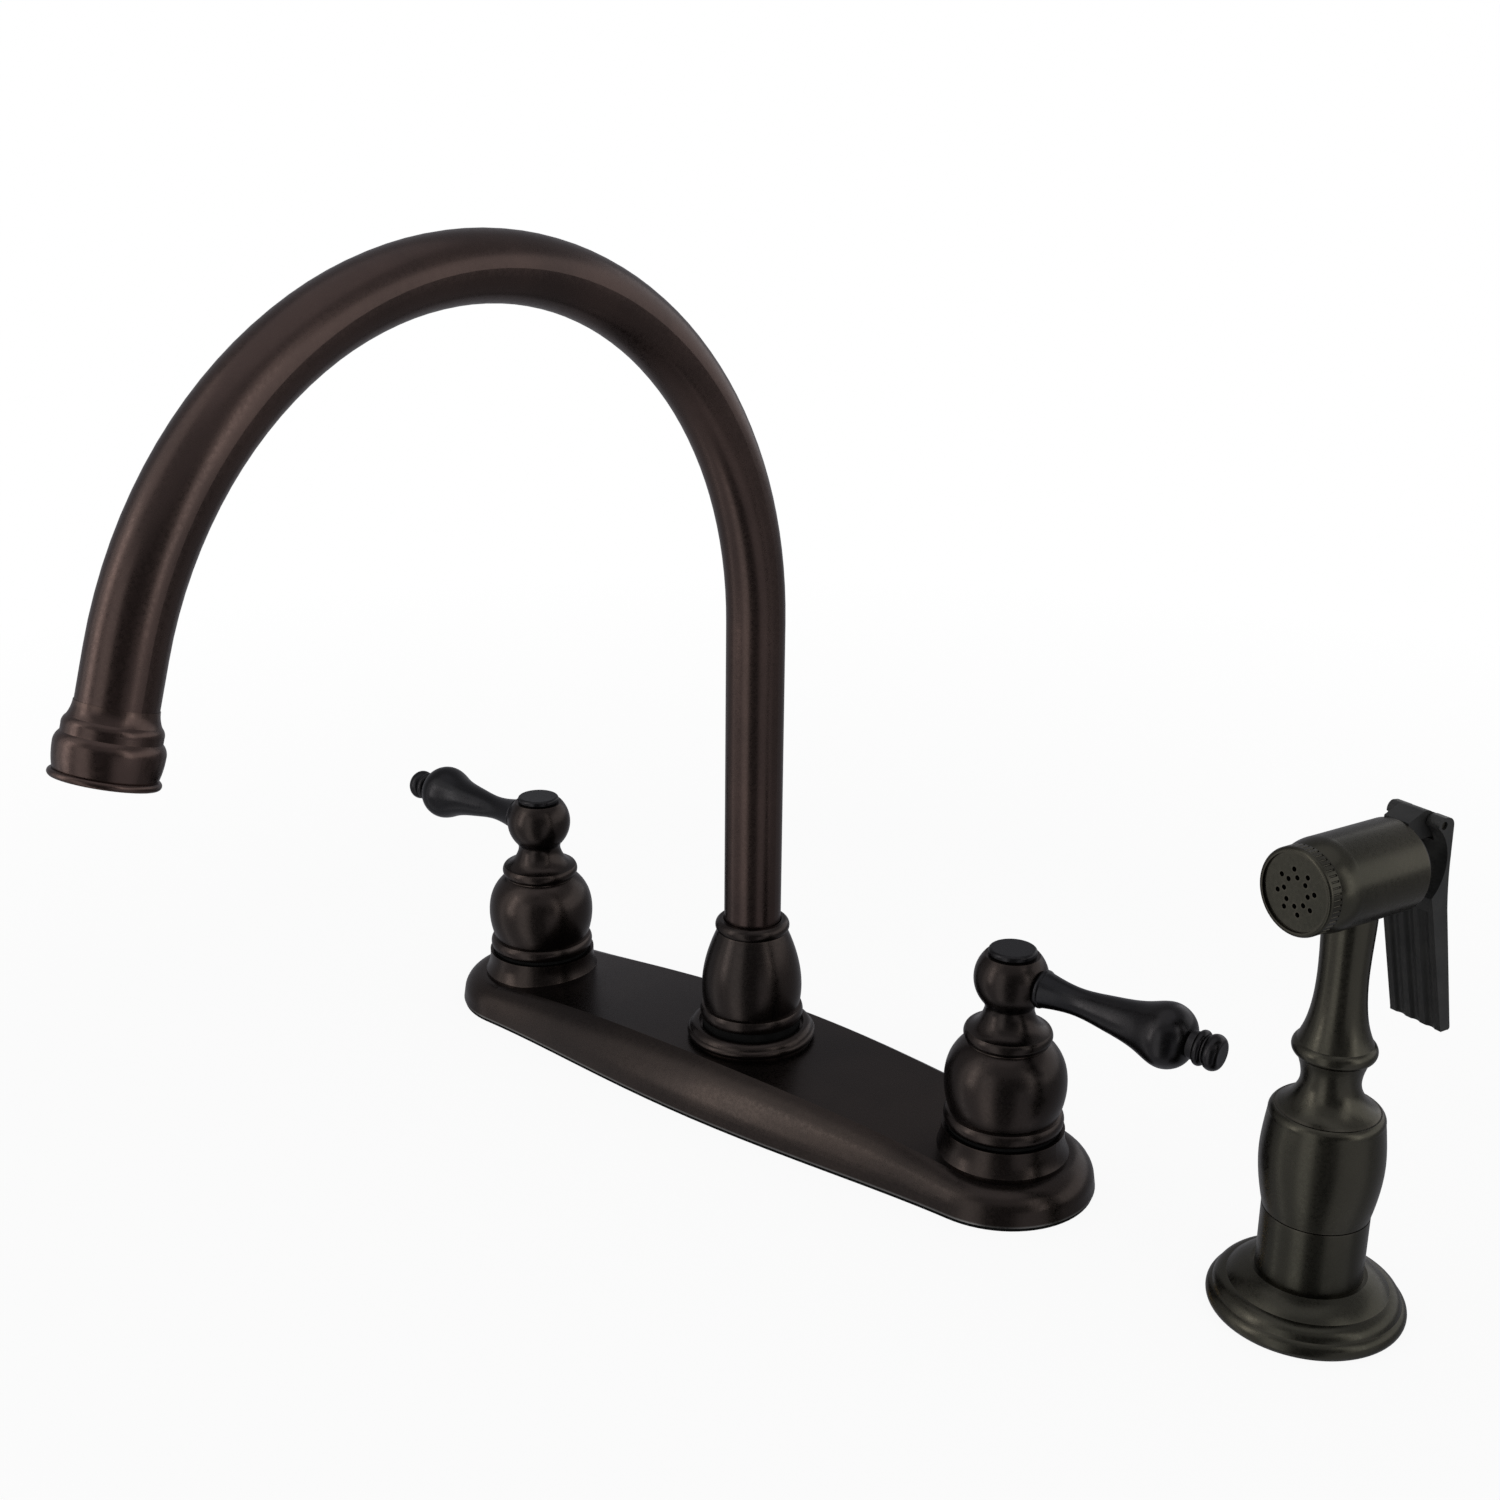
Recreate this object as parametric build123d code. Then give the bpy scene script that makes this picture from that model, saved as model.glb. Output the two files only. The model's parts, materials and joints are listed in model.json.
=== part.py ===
from build123d import *
from math import atan2, cos, degrees, radians, sin, sqrt, tan
import os

# A two-handle kitchen faucet on a long deck plate, with a gooseneck spout and a side sprayer.
# Millimetres. +X runs along the deck to the user's right, -Y points at the user, +Z is up.
# The origin is on the deck surface, on the spout's axis. Anything below z = 0 is under the deck.

# ---- shared clearances ----
running_gap = 0.05        # shaft in bore
loose_gap = 0.3           # between pieces that move past each other
seat_gap = 0.04           # between pieces screwed or pressed together

# ---- layout ----
handle_spacing = 203.2    # 8 in between the two handle axes
sprayer_pitch = 101.6     # 4 in from the cold handle to the sprayer
sprayer_yaw = -17.4       # the nozzle is turned a little to the spout

# ---- deck plate and gasket ----
gasket_thick = 1.2
gasket_inset = 0.3
plate_half_width = 34.6
plate_end_radius = 29.6
plate_steps = 3           # sections from the middle to each end
plate_wall = 2.4
plate_side_height = 3.5   # nearly upright part of the rim
rim_draft = 0.5           # how far the rim leans in over that height
plate_crown_height = 16.75 # top of the plate above its foot, in the middle
plate_end_height = 10.3   # the same at the handles
shoulder_width = 10.0     # rounded shoulder between rim and top, in the middle
shoulder_end_width = 8.0
handle_boss_height = 19.1
handle_boss_radius = 19.2
handle_boss_foot = 20.9
spout_boss_height = 21.9
spout_boss_radius = 21.9
spout_boss_lip = 17.9
spout_boss_recess = 1.6
underside_gap = 0.5       # castings stand this far over the gasket

# ---- brass waterway ----
arm_radius = 3.6
arm_bore = 2.4
arm_height = 4.2          # arm's centre line over the plate's foot
valve_tower_radius = 12.9
valve_tower_height = 24.8
valve_bore = 9.5
valve_floor = 8.8         # floor of the valve bore over the plate's foot
post_radius = 13.2
post_height = 37.0
socket_depth = 21.0
socket_radius = 11.0

# ---- shanks under the deck ----
shank_radius = 10.48      # 1/2 in pipe thread
shank_bore = 6.5
shank_length = 52.0
shank_thread_pitch = 1.81
shank_plain_end = 14.0    # end of the shank, drawn at its thread's full size
locknut_height = 9.0
locknut_flats = 31.0
locknut_drop = 28.0       # locknut's face under the deck surface
shank_washer_radius = 21.0
shank_washer_thick = 2.0
nipple_radius = 6.6
nipple_bore = 3.6
nipple_length = 24.0
nipple_thread_pitch = 1.41
nipple_plain_end = 8.0

# ---- handle valves ----
seal_thick = 1.5
disc_thick = 3.0
disc_radius = 7.6
disc_port = 2.2
disc_port_offset = 4.2
housing_height = 30.0
stem_radius = 4.6
stem_foot_height = 3.0
spline_radius = 3.8
spline_teeth = 16
spline_length = 10.0
bonnet_height = 5.0
bonnet_flats = 23.4
oring_section = 0.9

# ---- bell under each handle ----
bell_seal_thick = 1.3
bell_height = 27.9
bell_radius = 19.0
bell_widest = 14.6        # height of its widest place over its foot
bell_waist_radius = 17.2
bell_ring_radius = 18.7
bell_ring_height = 4.0
bell_mouth_radius = 12.7
bell_wall = 1.8

# ---- handle hub, lever and cap ----
skirt_radius = 13.7
skirt_height = 3.6
neck_radius = 7.6
neck_height = 10.4
ball_radius = 11.45
ball_height = 20.4        # ball's centre over the hub's foot
hub_height = 28.1
cap_radius = 7.4
cap_thick = 2.1
cap_round = 0.9
screw_radius = 2.1
screw_head_radius = 3.6
screw_head_height = 2.6
lever_droop = 2.1         # degrees below level
hot_lever_yaw = 2.5       # degrees that the hot lever stands behind the plate's line
lever_root = 11.6
lever_root_radius = 6.0
lever_ring = 1.2          # thickness of the ring at the lever's root
lever_waist = 23.0
lever_waist_radius = 4.25
lever_bulb = 53.2
lever_bulb_radius = 9.85
lever_neck = 60.3
lever_neck_radius = 4.3
lever_length = 70.0
finial_radius = 5.35
tenon_radius = 3.2
tenon_length = 5.0

# ---- spout ----
tube_radius = 9.525       # 3/4 in tube
tube_wall = 1.5
riser_top = 163.3         # where the bend starts
bend_radius = 117.15
bend_angle = 107.2
drop_radius = 112.65
drop_angle = 55.6
drop_length = 16.5
outlet_socket = 4.5       # how far the outlet reaches up over the tube's end
outlet_length = 13.4      # from the tube's end to the mouth
outlet_upper_radius = 11.45
outlet_radius = 12.6
outlet_rim_radius = 12.75
outlet_rim_thick = 1.7
outlet_step = 3.2         # where the outlet widens, from the tube's end
aerator_radius = 9.9
aerator_wall = 1.3
aerator_length = 11.0
screen_thick = 0.8
sleeve_height = 26.0
bush_thick = 3.0

# ---- vase-shaped spout nut ----
collar_seal_thick = 4.1
collar_height = 35.2
collar_band_radius = 17.4
collar_band_height = 4.0
collar_radius = 16.9
collar_widest = 12.6
collar_shoulder_radius = 11.8
collar_bead_radius = 12.5
collar_bead_height = 4.0

# ---- diverter ----
diverter_radius = 6.4
diverter_wall = 1.2
diverter_lift = 2.5
diverter_head = 3.0
diverter_floor = 1.0
diverter_mouth = 2.6
diverter_stem = 1.6
diverter_wire = 0.35

# ---- side sprayer holder ----
flange_radius = 27.5
flange_height = 12.4
flange_step_radius = 21.8
flange_step_height = 8.4
flange_neck_radius = 16.0
holder_radius = 14.75
holder_height = 31.6
holder_bore = 11.4
holder_shank_radius = 13.6
holder_shank_length = 36.0
holder_nut_flats = 36.0
holder_nut_height = 7.0
holder_nut_drop = 22.0

# ---- sprayer ----
coupling_radius = 7.4
coupling_height = 20.0
spigot_length = 6.0       # the swivel's neck in the wand's bore
spigot_bore = 2.2
hose_tail_radius = 5.2
hose_tail_length = 9.0
barrel_radius = 16.9
barrel_mouth_radius = 14.7
barrel_height = 31.4
barrel_wall = 2.0
shoulder_radius = 14.4
wand_neck_radius = 8.1
wand_ring_radius = 11.4
wand_waist_radius = 6.7
wand_bore = 3.4
wand_tail_lift = 5.2      # foot of the wand's tail over the holder's top
head_height = 99.6        # head's axis over the top of the holder
head_radius = 12.8
head_front = 18.6
head_back = 13.8
head_wall = 2.0
nozzle_radius = 12.0
nozzle_length = 4.6
nozzle_knurls = 48
face_radius = 10.6
face_thick = 2.8
face_holes = 16
face_hole_radius = 0.7
valve_rear_radius = 11.2
valve_rear_shoulder = 16.0 # where the valve body starts to round off, behind the sprayer's axis
valve_rear_end = 20.3
plunger_radius = 2.2
plunger_tip_radius = 1.2
plunger_flange_radius = 4.2
plunger_flange_thick = 2.0
plunger_wire = 0.4
valve_depth = 7.0         # how far the valve body reaches into the head
lug_width = 8.0           # tab on the valve body that carries the trigger's pin
lug_front = 14.0
lug_back = 24.7
lug_top = 15.0            # over the head's axis
pivot_height = 11.8       # pin over the head's axis
pivot_back = 22.8         # pin behind the sprayer's axis
pivot_radius = 1.1
ear_radius = 2.2          # the trigger's ears round the pin
trigger_width = 17.0
trigger_front = 18.6      # behind the sprayer's axis
trigger_back = 27.2
trigger_root = 12.0       # under the head's axis, where the blade starts
trigger_root_thick = 6.3
trigger_tip = 51.0        # under the head's axis
trigger_tip_back = 36.8
trigger_tip_thick = 4.0
trigger_flutes = 3
flute_radius = 2.2
flute_depth = 0.9
saddle_radius = 12.8      # hollow in the trigger that fits round the valve body
saddle_back = 13.0        # its centre behind the sprayer's axis
saddle_lift = 1.0         # its centre over the head's axis

# ---- places worked out from the sizes ----
handle_x = handle_spacing / 2
sprayer_x = handle_x + sprayer_pitch
trigger_top = pivot_height + ear_radius
foot = gasket_thick
handle_boss_top = foot + handle_boss_height
bell_foot = handle_boss_top + bell_seal_thick
hub_foot = bell_foot + bell_height + loose_gap
ball_z = hub_foot + ball_height
valve_base = foot + valve_floor
disc_base = valve_base + seal_thick
disc_split = disc_base + disc_thick + running_gap
stem_base = disc_split + disc_thick
housing_top = disc_base + housing_height
tower_top = foot + valve_tower_height
stem_top = hub_foot + neck_height + spline_length - loose_gap
spout_seat = foot + spout_boss_height - spout_boss_recess
collar_foot = spout_seat + collar_seal_thick
collar_top = collar_foot + collar_height
post_top = foot + post_height
socket_floor = post_top - socket_depth
holder_top = holder_height
head_z = holder_top + head_height
wand_tail = holder_top + wand_tail_lift
diverter_foot = foot + 3
valve_seat = valve_depth - head_back + loose_gap
sides = {"hot": -1, "cold": 1}


def outline(start, *steps):
    """A closed face from (line, end), (arc, middle, end) and (curve, points...) steps."""
    here, edges = start, []
    for kind, *points in steps:
        if kind == "line":
            edges.append(Line(here, points[0]))
        elif kind == "arc":
            edges.append(ThreePointArc(here, *points))
        else:
            edges.append(Spline(here, *points))
        here = points[-1]
    edges.append(Line(here, start))
    return make_face(Wire(edges))


def turned(start, *steps):
    """A solid of revolution about Z from an outline in radius and height."""
    return revolve(Plane.XZ * outline(start, *steps), Axis.Z, 360)


def rod(radius, low, high, x=0, y=0):
    return Pos(x, y, (low + high) / 2) * Cylinder(radius, high - low)


def ring(outer, inner, low, high, x=0, y=0):
    return rod(outer, low, high, x, y) - rod(inner, low - 1, high + 1, x, y)


def hexagon(flats, low, high, bore):
    body = Pos(0, 0, low) * extrude(RegularPolygon(flats / sqrt(3), 6), high - low)
    return body - rod(bore, low - 1, high + 1)


def torus(middle, section, z):
    return Pos(0, 0, z) * Torus(middle, section)


def threaded(radius, bore, low, high, pitch):
    """A tube whose thread is cut as a row of shallow rings."""
    body = ring(radius, bore, low, high)
    for turn in range(int((high - low) / pitch)):
        body -= torus(radius + 0.1, pitch / 3, low + (turn + 0.5) * pitch)
    return body


def coil(low, high, radius, wire, turns):
    """An open spring of round wire about Z, between two heights."""
    path = Pos(0, 0, low) * Helix((high - low) / turns, high - low, radius)
    section = Plane(origin=path @ 0, z_dir=path % 0) * Circle(wire)
    return sweep(section, path=path, is_frenet=True)


def joined(pieces):
    return Compound(children=pieces)


def save(name, shape):
    solids = shape.solids()
    shape = solids[0] if len(solids) == 1 else Compound(children=list(solids))
    shape.label = name
    export_step(shape, f"parts/{name}.step")


# ---- deck plate ----
def plate_sizes(share):
    """Half width, shoulder width and height of the plate, 0 in the middle and 1 at a handle."""
    ease = (1 - share**2) ** 2
    half = plate_end_radius + (plate_half_width - plate_end_radius) * ease
    width = shoulder_end_width + (shoulder_width - shoulder_end_width) * ease
    top = plate_crown_height + (plate_end_height - plate_crown_height) * share**2
    return half, width, top


def tangent_arc_middle(start, lean, end):
    """Middle of the arc that leaves start in the direction lean and ends at end."""
    across, up = end[0] - start[0], end[1] - start[1]
    turn = (atan2(up, across) - atan2(lean[1], lean[0])) / 2
    rise = tan(turn) / 2
    return (start[0] + across / 2 + up * rise, start[1] + up / 2 - across * rise)


def shoulder(half, width, top, inset):
    """One plate section: rim, shoulder rounded off from it and flat top, shrunk by inset."""
    rim, crest = half - inset, half - width - inset / 2
    low = foot if inset == 0 else foot - 1
    side, high = (rim - rim_draft, foot + plate_side_height), foot + top - inset
    mid = tangent_arc_middle(side, (-rim_draft, plate_side_height), (crest, high))
    return (rim, low), side, mid, (crest, high)


def plate_section(share, inset):
    rim, side, mid, crest = shoulder(*plate_sizes(share), inset)
    far_rim, far_side, far_mid, far_crest = [(-p[0], p[1]) for p in (rim, side, mid, crest)]
    wire = Wire([
        Line(far_rim, rim),
        Line(rim, side),
        ThreePointArc(side, mid, crest),
        Line(crest, far_crest),
        ThreePointArc(far_crest, far_mid, far_side),
        Line(far_side, far_rim),
    ])
    plane = Plane(origin=(share * handle_x, 0, 0), x_dir=(0, 1, 0), z_dir=(1, 0, 0))
    return plane * make_face(wire)


def plate_block(inset):
    """The crowned plate without its bosses, shrunk by inset on every face but the foot."""
    block = loft([plate_section(step / plate_steps, inset) for step in range(-plate_steps, plate_steps + 1)])
    rim, side, mid, crest = shoulder(*plate_sizes(1), inset)
    profile = outline((0, rim[1]), ("line", rim), ("line", side), ("arc", mid, crest),
                      ("line", (0, crest[1])))
    end = Rot(0, 0, -90) * revolve(Plane.XZ * profile, Axis.Z, 180)
    for sign, turn in ((1, 0), (-1, 180)):
        block += Pos(sign * handle_x, 0, 0) * Rot(0, 0, turn) * end
    return block


def deck_plate():
    """A hollow crowned shell with a flared boss under each bell and a round one under the spout."""
    top, low = handle_boss_top, foot + plate_end_height - 2
    boss = turned(
        (0, low), ("line", (handle_boss_foot, low)),
        ("line", (handle_boss_foot, low + 3)),
        ("arc", (handle_boss_radius + 0.4, low + 6), (handle_boss_radius, top - 1)),
        ("line", (handle_boss_radius, top)), ("line", (0, top)))
    crest, crown = foot + spout_boss_height, foot + plate_crown_height
    spout_boss = turned(
        (0, crown - 2), ("line", (spout_boss_radius - 1, crown - 2)),
        ("line", (spout_boss_radius - 1, crown + 0.4)),
        ("arc", (spout_boss_radius, crown + 2), (spout_boss_radius - 0.9, crest - 2)),
        ("arc", (spout_boss_lip + 2, crest - 0.4), (spout_boss_lip, crest)),
        ("line", (spout_boss_lip, spout_seat)), ("line", (0, spout_seat)))
    shell = plate_block(0) - plate_block(plate_wall)
    shell += spout_boss - rod(post_radius + loose_gap, crown - 9, crest)
    for sign in sides.values():
        shell += Pos(sign * handle_x, 0, 0) * boss
    for sign in sides.values():
        shell -= rod(valve_tower_radius + seat_gap, 0, top + 1, sign * handle_x)
    return shell - rod(post_radius + loose_gap, 0, crest + 1)


def base_gasket():
    """A flat black foam pad under the plate, with a hole for each shank."""
    pad = extrude(section(plate_block(gasket_inset), Plane.XY.offset(foot)), -gasket_thick)
    for sign in sides.values():
        pad -= rod(shank_radius + loose_gap, -1, foot + 1, sign * handle_x)
    return pad - rod(nipple_radius + loose_gap, -1, foot + 1)


def waterway_body():
    """One brass casting: two valve towers, the spout post and the arms that join them."""
    low, arm_z = foot + underside_gap, foot + arm_height
    arm = Pos(0, 0, arm_z) * Rot(0, 90, 0) * Cylinder(arm_radius, handle_spacing)
    body = arm + rod(post_radius, low, post_top)
    for sign in sides.values():
        body += rod(valve_tower_radius, low, tower_top, sign * handle_x)
    body -= Pos(0, 0, arm_z) * Rot(0, 90, 0) * Cylinder(arm_bore, handle_spacing)
    body -= rod(socket_radius + running_gap, socket_floor, post_top + 1)
    body -= rod(diverter_radius + seat_gap, foot + 3, socket_floor + 1)
    body -= rod(nipple_bore, 0, foot + 4)
    for sign in sides.values():
        x = sign * handle_x
        body -= rod(valve_bore, valve_base, tower_top + 1, x)
        body -= rod(shank_bore, 0, valve_base + 1, x)
    return body


def shank(radius, bore, length, pitch, plain_end):
    """A threaded tube under the deck, standing against the waterway's underside."""
    top, thread_end = foot + underside_gap, plain_end - length
    tube = ring(radius, bore, -1, top) + ring(radius, bore, -length, thread_end)
    return tube + threaded(radius, bore, thread_end, -1, pitch)


def plain_nut(flats, height, bore, drop):
    return hexagon(flats, -drop - height, -drop, bore + seat_gap)


# ---- handle valves ----
def cartridge_housing():
    """The tube that holds the ceramic discs and guides the stem."""
    shell = rod(valve_bore - seat_gap, disc_base, housing_top)
    shell -= rod(disc_radius + loose_gap, disc_base - 1, stem_base + stem_foot_height + loose_gap)
    shell -= rod(stem_radius + running_gap, disc_base, housing_top + 1)
    groove = housing_top - 3 * oring_section
    return shell - ring(stem_radius + 2 * oring_section + seat_gap, 1, groove - oring_section,
                        groove + oring_section)


def stem_oring():
    middle = stem_radius + running_gap + oring_section
    return torus(middle, oring_section - seat_gap, housing_top - 3 * oring_section)


def ported_disc(low, radius):
    disc = rod(radius, low, low + disc_thick)
    for sign in (-1, 1):
        disc -= rod(disc_port, low - 1, low + disc_thick + 1, 0, sign * disc_port_offset)
    return disc


def valve_stem():
    """Brass stem: a foot on the moving disc, a round journal and a toothed top."""
    foot_top = stem_base + stem_foot_height
    spline_low = stem_top - spline_length + loose_gap
    stem = rod(disc_radius - running_gap, stem_base, foot_top)
    stem += rod(stem_radius, foot_top, spline_low) + rod(spline_radius, spline_low, stem_top)
    for tooth in range(spline_teeth):
        turn = Rot(0, 0, 360 / spline_teeth * tooth)
        stem -= turn * rod(0.35, spline_low + 0.5, stem_top + 1, spline_radius)
    return stem - rod(screw_radius - 0.3, stem_top - 9, stem_top + 1)


def bell():
    """A turned bell screwed down over the valve tower, with a ring round its foot."""
    z, top = bell_foot, bell_foot + bell_height
    widest, ring_top = z + bell_widest, z + bell_ring_height
    shell = turned(
        (0, z), ("line", (bell_ring_radius - 0.6, z)),
        ("arc", (bell_ring_radius, z + bell_ring_height / 2), (bell_ring_radius - 0.8, ring_top)),
        ("line", (bell_waist_radius, ring_top + 0.3)),
        ("curve", (bell_radius - 0.3, widest - 4.6), (bell_radius, widest),
         (bell_radius - 1.4, top - 6.4), (bell_mouth_radius + 2.1, top - 2.2),
         (bell_mouth_radius, top - 0.4)),
        ("line", (bell_mouth_radius, top)), ("line", (0, top)))
    inside = bell_waist_radius - bell_wall
    cavity = turned(
        (0, tower_top), ("line", (inside, tower_top)), ("line", (inside, top - 8)),
        ("line", (bell_mouth_radius - bell_wall, top - 2)), ("line", (0, top - 2)))
    shell -= rod(valve_tower_radius + seat_gap, z - 1, tower_top + 0.01)
    return shell - cavity - rod(stem_radius + 4, tower_top, top + 1)


# ---- handles ----
def handle_hub():
    """Skirt, neck and ball in one turned piece, bored for the stem, the screw and the lever."""
    z = hub_foot
    skirt, neck = z + skirt_height, z + neck_height
    neck_end = ball_z - sqrt(ball_radius**2 - (neck_radius + 0.6) ** 2)
    flat = sqrt(ball_radius**2 - (hub_height - ball_height) ** 2)
    shape = turned(
        (0, z), ("line", (skirt_radius - 0.7, z)),
        ("arc", (skirt_radius, z + skirt_height * 0.45), (skirt_radius - 0.6, skirt)),
        ("curve", (skirt_radius - 3.6, skirt + 1.6), (neck_radius + 0.5, neck - 2),
         (neck_radius, neck), (neck_radius + 0.6, neck_end)),
        ("arc", (ball_radius, ball_z), (flat, z + hub_height)),
        ("line", (0, z + hub_height)))
    shape -= rod(skirt_radius - 5, z - 1, z + skirt_height / 2)
    shape -= rod(stem_radius + seat_gap, z - 1, neck)
    shape -= rod(spline_radius + seat_gap, z, stem_top + loose_gap)
    shape -= rod(screw_radius + seat_gap, z, z + hub_height + 1)
    shape -= rod(screw_head_radius + seat_gap, stem_top + 2, z + hub_height + 1)
    pocket = rod(tenon_radius + seat_gap, lever_root - tenon_length - seat_gap, lever_root)
    pocket += rod(lever_root_radius + loose_gap, lever_root - lever_ring, lever_root + 5)
    return shape - Pos(0, 0, ball_z) * Rot(0, 90 + lever_droop, 0) * pocket


def handle_lever():
    """A turned baluster lever with a ringed finial, drawn along Z and then laid over."""
    root, end, bulb, neck = lever_root, lever_length, lever_bulb, lever_neck
    gap = (end - neck) / 10
    ring_low, groove = neck + 2 * gap, neck + 5.2 * gap
    shape = turned(
        (0, root - tenon_length), ("line", (tenon_radius, root - tenon_length)),
        ("line", (tenon_radius, root - lever_ring)),
        ("line", (lever_root_radius - 0.5, root - lever_ring)),
        ("arc", (lever_root_radius, root - 0.3), (lever_root_radius - 0.4, root + 0.7)),
        ("curve", (lever_waist_radius + 0.5, lever_waist - 6), (lever_waist_radius, lever_waist),
         (lever_waist_radius + 1.1, (lever_waist + bulb) / 2 - 4.5),
         (lever_bulb_radius - 2, bulb - 7.6), (lever_bulb_radius, bulb),
         (lever_bulb_radius - 2, bulb + 4.9), (lever_neck_radius, neck)),
        ("line", (lever_neck_radius, ring_low)),
        ("arc", (finial_radius, ring_low + 1.4 * gap), (lever_neck_radius, groove - 0.4 * gap)),
        ("line", (lever_neck_radius, groove)),
        ("arc", (finial_radius, groove + 1.6 * gap), (finial_radius - 0.4, end - gap)),
        ("arc", (finial_radius - 1.2, end - 0.2), (finial_radius - 2.4, end)),
        ("line", (0, end)))
    return Pos(0, 0, ball_z) * Rot(0, 90 + lever_droop, 0) * shape


def handle_screw():
    seat = stem_top + 2
    screw = rod(screw_radius - 0.35, stem_top - 8, stem_top)
    screw += rod(screw_radius - 0.35, stem_top - 0.5, seat)
    screw += rod(screw_head_radius, seat, seat + screw_head_height)
    slot = Pos(0, 0, seat + screw_head_height) * Box(2 * screw_head_radius + 1, 0.9, 2)
    return screw - slot


def index_cap():
    """A low upright button with a rounded edge and a plug that snaps into the hub."""
    z = hub_foot + hub_height
    top, bow = z + cap_thick, 0.3 * cap_round
    disc = turned((0, z), ("line", (cap_radius - 0.2, z)), ("line", (cap_radius, z + 0.5)),
                  ("line", (cap_radius, top - cap_round)),
                  ("arc", (cap_radius - bow, top - bow), (cap_radius - cap_round, top)),
                  ("line", (0, top)))
    return disc + rod(screw_head_radius, z - 1.4, z)


# ---- spout ----
def spout_path(low):
    """The spout's centre line in the YZ plane, from a height up the riser to the outlet."""
    centre = (0, -bend_radius, riser_top)
    turn, both = radians(bend_angle), radians(bend_angle + drop_angle)

    def first(angle):
        return (0, centre[1] + bend_radius * cos(angle), centre[2] + bend_radius * sin(angle))

    knee = first(turn)
    second = (knee[1] - drop_radius * cos(turn), knee[2] - drop_radius * sin(turn))

    def lower(angle):
        return (0, second[0] + drop_radius * cos(angle), second[1] + drop_radius * sin(angle))

    last = lower(both)
    way = (0, -sin(both), cos(both))
    end = tuple(p + drop_length * d for p, d in zip(last, way))
    wire = Wire([
        Line((0, 0, low), (0, 0, riser_top)),
        ThreePointArc((0, 0, riser_top), first(turn / 2), knee),
        ThreePointArc(knee, lower((turn + both) / 2), last),
        Line(last, end),
    ])
    return wire, Plane(origin=end, x_dir=(1, 0, 0), z_dir=way)


def spout_tube():
    low = socket_floor + 3
    wire, outlet = spout_path(low)
    outer = sweep(Pos(0, 0, low) * Circle(tube_radius), path=wire)
    inner = sweep(Pos(0, 0, low) * Circle(tube_radius - tube_wall), path=wire)
    return outer - inner


def at_outlet(shape):
    return spout_path(socket_floor)[1].location * shape


def spout_outlet():
    """The stepped end casting over the tube's end, threaded inside for the aerator."""
    rim, top, step = outlet_length - outlet_rim_thick, -outlet_socket, outlet_step
    shape = turned(
        (0, top), ("line", (tube_radius + 0.15, top)),
        ("arc", (tube_radius + 0.45, top + 2), (outlet_upper_radius - 0.8, top + 3.7)),
        ("arc", (outlet_upper_radius - 0.1, top + 4.8), (outlet_upper_radius, top + 6)),
        ("line", (outlet_upper_radius, step - 0.3)),
        ("arc", (outlet_radius - 0.35, step + 0.8), (outlet_radius, step + 2.8)),
        ("arc", (outlet_radius - 0.15, step + 5.2), (outlet_radius - 0.8, rim)),
        ("line", (0, rim)))
    shape -= rod(tube_radius + seat_gap, top - 1, 0)
    shape -= rod(tube_radius - tube_wall, -5, rim + 1)
    return shape - rod(aerator_radius + seat_gap, rim + outlet_rim_thick - aerator_length, rim + 1)


def aerator_housing():
    rim = outlet_length - outlet_rim_thick
    low = outlet_length - aerator_length + 1.2
    shape = rod(aerator_radius, low, rim) + turned(
        (0, rim), ("line", (outlet_rim_radius - 0.5, rim)),
        ("arc", (outlet_rim_radius, rim + outlet_rim_thick / 2), (outlet_rim_radius - 0.5, outlet_length)),
        ("line", (0, outlet_length)))
    return shape - rod(aerator_radius - aerator_wall, low - 1, outlet_length + 1)


def aerator_disc(low, holes, hole_radius, thick):
    """A round disc with rings of small holes."""
    disc = rod(aerator_radius - aerator_wall - seat_gap, low, low + thick)
    for circle in range(1, 4):
        count = holes * circle
        for step in range(count):
            turn = Rot(0, 0, 360 / count * step)
            disc -= turn * rod(hole_radius, low - 1, low + thick + 1, 2.3 * circle)
    return disc


def base_sleeve():
    """Brass sleeve on the riser's foot: it turns in the post and carries the O-rings."""
    low = socket_floor + 1
    sleeve = ring(socket_radius, tube_radius + seat_gap, low + 2, low + sleeve_height)
    sleeve += ring(socket_radius, tube_radius - tube_wall, low, low + 2 - seat_gap)
    sleeve += ring(socket_radius, tube_radius + seat_gap, low + 1, low + 3)
    for groove in sleeve_grooves():
        sleeve -= ring(socket_radius + 1, socket_radius - 1.1, groove - 1, groove + 1)
    return sleeve


def sleeve_grooves():
    return [socket_floor + 6, socket_floor + 12]


def spout_orings():
    return [torus(socket_radius - 0.5, 0.5, z) for z in sleeve_grooves()]


def spout_nut():
    """The vase-shaped nut screwed over the post, with a bead round its top."""
    z, top = collar_foot, collar_top
    bead = top - collar_bead_height
    shell = turned(
        (0, z), ("line", (collar_band_radius - 0.3, z)),
        ("arc", (collar_band_radius, z + 0.8), (collar_band_radius - 0.4, z + collar_band_height)),
        ("line", (collar_radius - 0.6, z + collar_band_height + 0.2)),
        ("curve", (collar_radius, z + collar_widest), (collar_radius - 2.6, z + 25),
         (collar_shoulder_radius, bead)),
        ("arc", (collar_bead_radius, bead + collar_bead_height / 2), (collar_bead_radius - 1.4, top)),
        ("line", (0, top)))
    shell -= rod(post_radius + seat_gap, z - 1, post_top + 0.2)
    shell -= rod(socket_radius + loose_gap, z, socket_floor + 1 + sleeve_height + bush_thick + 0.2)
    return shell - rod(tube_radius + loose_gap, z, top + 1)


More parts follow.
